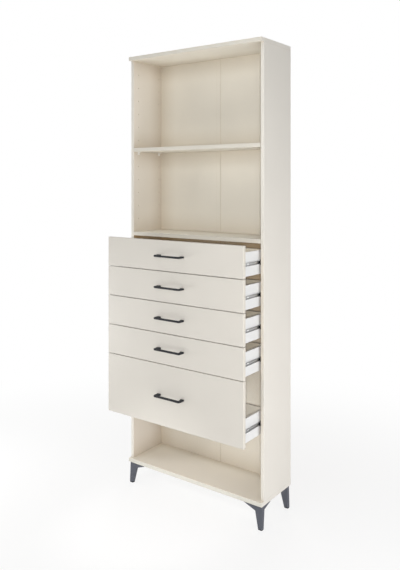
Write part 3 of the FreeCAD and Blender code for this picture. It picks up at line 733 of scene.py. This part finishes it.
def cage_ribbon(front, rear, height, side):
    """A ribbon along a C in the X-Z plane: a lip at +BALL_RISE, a quarter circle, the web, a quarter circle,
    a lip at -BALL_RISE. At each point of the C, the ring is a thin rounded rectangle that is as wide as the
    cage is long."""
    turn = np.linspace(np.pi / 2, np.pi, CAGE_BEND_POINTS)
    bend = np.stack([CAGE_WEB_FROM_WALL + CAGE_BEND + CAGE_BEND * np.cos(turn),
                     BALL_RISE - CAGE_BEND + CAGE_BEND * np.sin(turn)], 1)
    lip = np.array([[CAGE_LIP, BALL_RISE]])
    upper = np.concatenate([lip, bend])
    line = np.concatenate([upper, upper[::-1] * [1, -1]])
    heading = np.gradient(line, axis=0)
    heading /= np.linalg.norm(heading, axis=1, keepdims=True)
    normal = np.stack([-heading[:, 1], heading[:, 0]], 1)
    half_length = np.full(len(line), (rear - front) / 2)
    half_steel = np.full(len(line), CAGE_STEEL / 2)
    along, thick = rounded_rectangle(half_length, half_steel, CAGE_ROUNDING, CAGE_ROUNDING_STEPS)
    from_wall = line[:, :1] + normal[:, :1] * thick
    up = line[:, 1:] + normal[:, 1:] * thick
    return np.stack([side * (wall - from_wall), (front + rear) / 2 + along, height + up], -1)


# %% Balls and cages
for k in drawers:
    solid = f"drawer_{k}_ball_cages"
    low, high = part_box(solid)
    height = (low.z + high.z) / 2
    strips = np.stack([cage_ribbon(low.y, high.y, height, side) for side in (-1, 1)])
    even_weight(rings_to_piece(f"cage_strips_{k}", strips, "slide_steel", f"cage_{k}", [solid]))
    places = [(side * (wall - BALL_FROM_WALL), low.y + BALL_FIRST + i * BALL_PITCH, height + row * BALL_RISE)
              for side in (-1, 1) for row in (-1, 1) for i in range(BALLS_PER_ROW)]
    balls = placed(sphere(BALL_RADIUS), places, (0, 0, 1))
    rings_to_piece(f"bearing_balls_{k}", balls, "screw_steel", f"cage_{k}", [solid])

# %% [markdown]
# ## Stops
# A black moulded stop closes the front end of each channel: a block that the rail slides over, on a thin
# plate. Both are boxes with soft corners, which could be bevelled cubes. A formula gives all the corners
# at once: a sphere whose sines and cosines are raised to a small power, which pushes it out towards the
# box around it.

# %% Stops
STOP_POWER = 0.3
STOP_ROWS, STOP_COLUMNS, STOP_POLE = 21, 40, 0.004
STOP_CLEARANCE = 0.0004
BLOCK_HALF_HEIGHT, PLATE_HALF_HEIGHT = 0.0053, 0.0105
PLATE_THICKNESS = 0.0023

stop_low, stop_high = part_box("slide_bumpers")
block = ((rail_web + STOP_CLEARANCE, channel_web), (stop_low.y, stop_high.y), BLOCK_HALF_HEIGHT)
plate = ((wall - PLATE_THICKNESS, wall), (stop_low.y, channel_front), PLATE_HALF_HEIGHT)


def soft_box(x_span, y_span, half_height, side):
    """A soft-cornered box over two angles: along each axis it is the half size times the sine or cosine
    products, each raised to STOP_POWER with its sign kept."""
    def power(value):
        return np.sign(value) * np.abs(value) ** STOP_POWER

    lift = np.linspace(-np.pi / 2 + STOP_POLE, np.pi / 2 - STOP_POLE, STOP_ROWS)[:, None]
    turn = np.linspace(0, 2 * np.pi, STOP_COLUMNS, endpoint=False)[None]
    x = side * np.mean(x_span) + np.ptp(x_span) / 2 * power(np.cos(lift)) * power(np.cos(turn))
    y = np.mean(y_span) + np.ptp(y_span) / 2 * power(np.cos(lift)) * power(np.sin(turn))
    return np.stack([x, y, np.broadcast_to(half_height * power(np.sin(lift)), x.shape)], -1)


stops = []
for k in drawers:
    low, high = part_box(f"drawer_{k}_slide_rails")
    rise = np.array([0, 0, (low.z + high.z) / 2])
    stops += [soft_box(*shape, side) + rise for shape in (block, plate) for side in (-1, 1)]
rings_to_piece("channel_stops", np.stack(stops), "black_plastic", "carcass", ["slide_bumpers"])

# %% [markdown]
# ## Softened solids
# The feet, their pads and the shelf pins are moulded, so their corners are a little round.
# They could be made again with rounded corners, but then two shapes would have to be kept alike. Their
# solids stay as they are: one modifier joins their loose triangles and another rounds the corners.

# %% Rounded corners on moulded pieces
FOOT_ROUNDING, PIN_ROUNDING = 0.0011, 0.0005
ROUNDED_ABOVE = math.radians(24)
ROUNDING_SEGMENTS = 2
JOINED_WITHIN = 0.00002

moulded = {name: FOOT_ROUNDING for name in solids if name.startswith("foot_") and name != "foot_screws"}
moulded["shelf_pins"] = PIN_ROUNDING
for name, width in moulded.items():
    solids[name].modifiers.new("join_triangles", "WELD").merge_threshold = JOINED_WITHIN
    bevel = solids[name].modifiers.new("round_corners", "BEVEL")
    bevel.width = width
    bevel.segments = ROUNDING_SEGMENTS
    bevel.limit_method = "ANGLE"
    bevel.angle_limit = ROUNDED_ABOVE
    even_weight(solids[name])
print("rounded", sorted(moulded))
